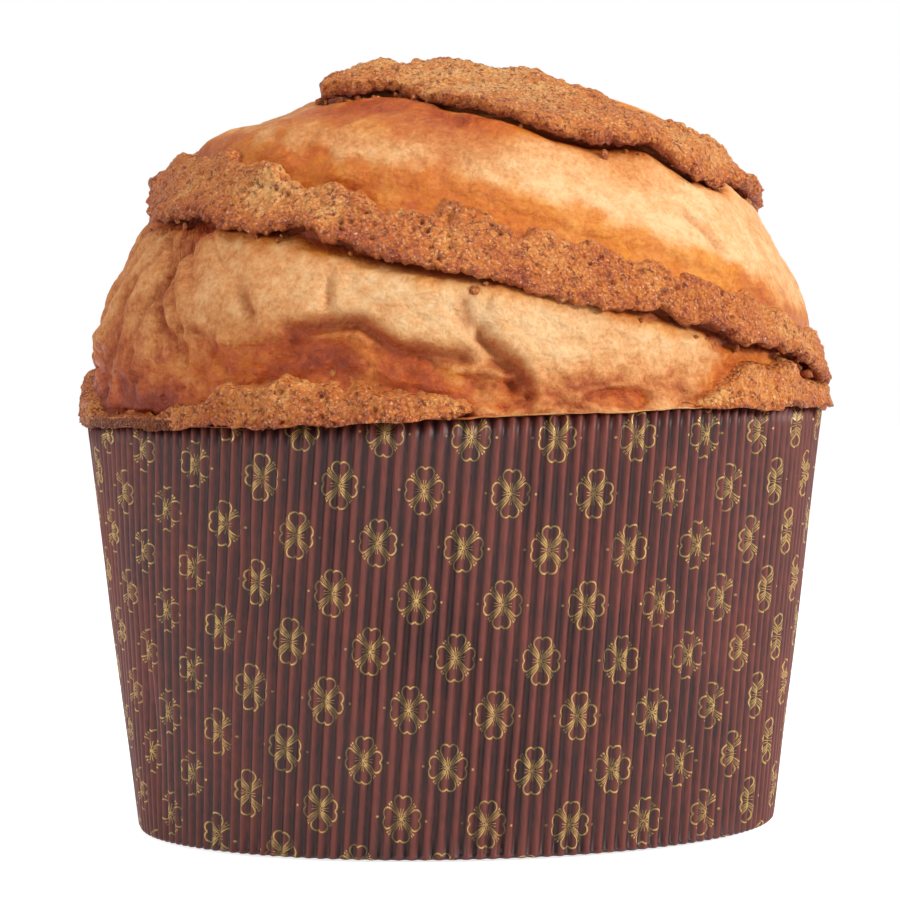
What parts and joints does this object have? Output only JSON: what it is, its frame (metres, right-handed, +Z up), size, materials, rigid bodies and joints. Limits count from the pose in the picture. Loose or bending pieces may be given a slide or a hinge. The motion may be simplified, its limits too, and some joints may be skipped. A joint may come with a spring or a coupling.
{
  "type": "panettone",
  "caption": "Tall domed sweet bread with a baked sugar-crust topping wound down its dome in two arms, in a tapered fluted paper case.",
  "frame": {"origin": "on the surface it stands on, under the middle of the dome's widest ring", "axes": "+Z up out of the dome, the shown front faces -Y, +X to the viewer's right"},
  "size_m": [0.1742, 0.1727, 0.1779],
  "materials": {
    "crust": "satin",
    "case_paper": "satin",
    "disc_paper": "matte"
  },
  "bodies": {
    "root": {"bread": "crust", "case_wall": "case_paper", "case_disc": "disc_paper"}
  },
  "joints": []
}
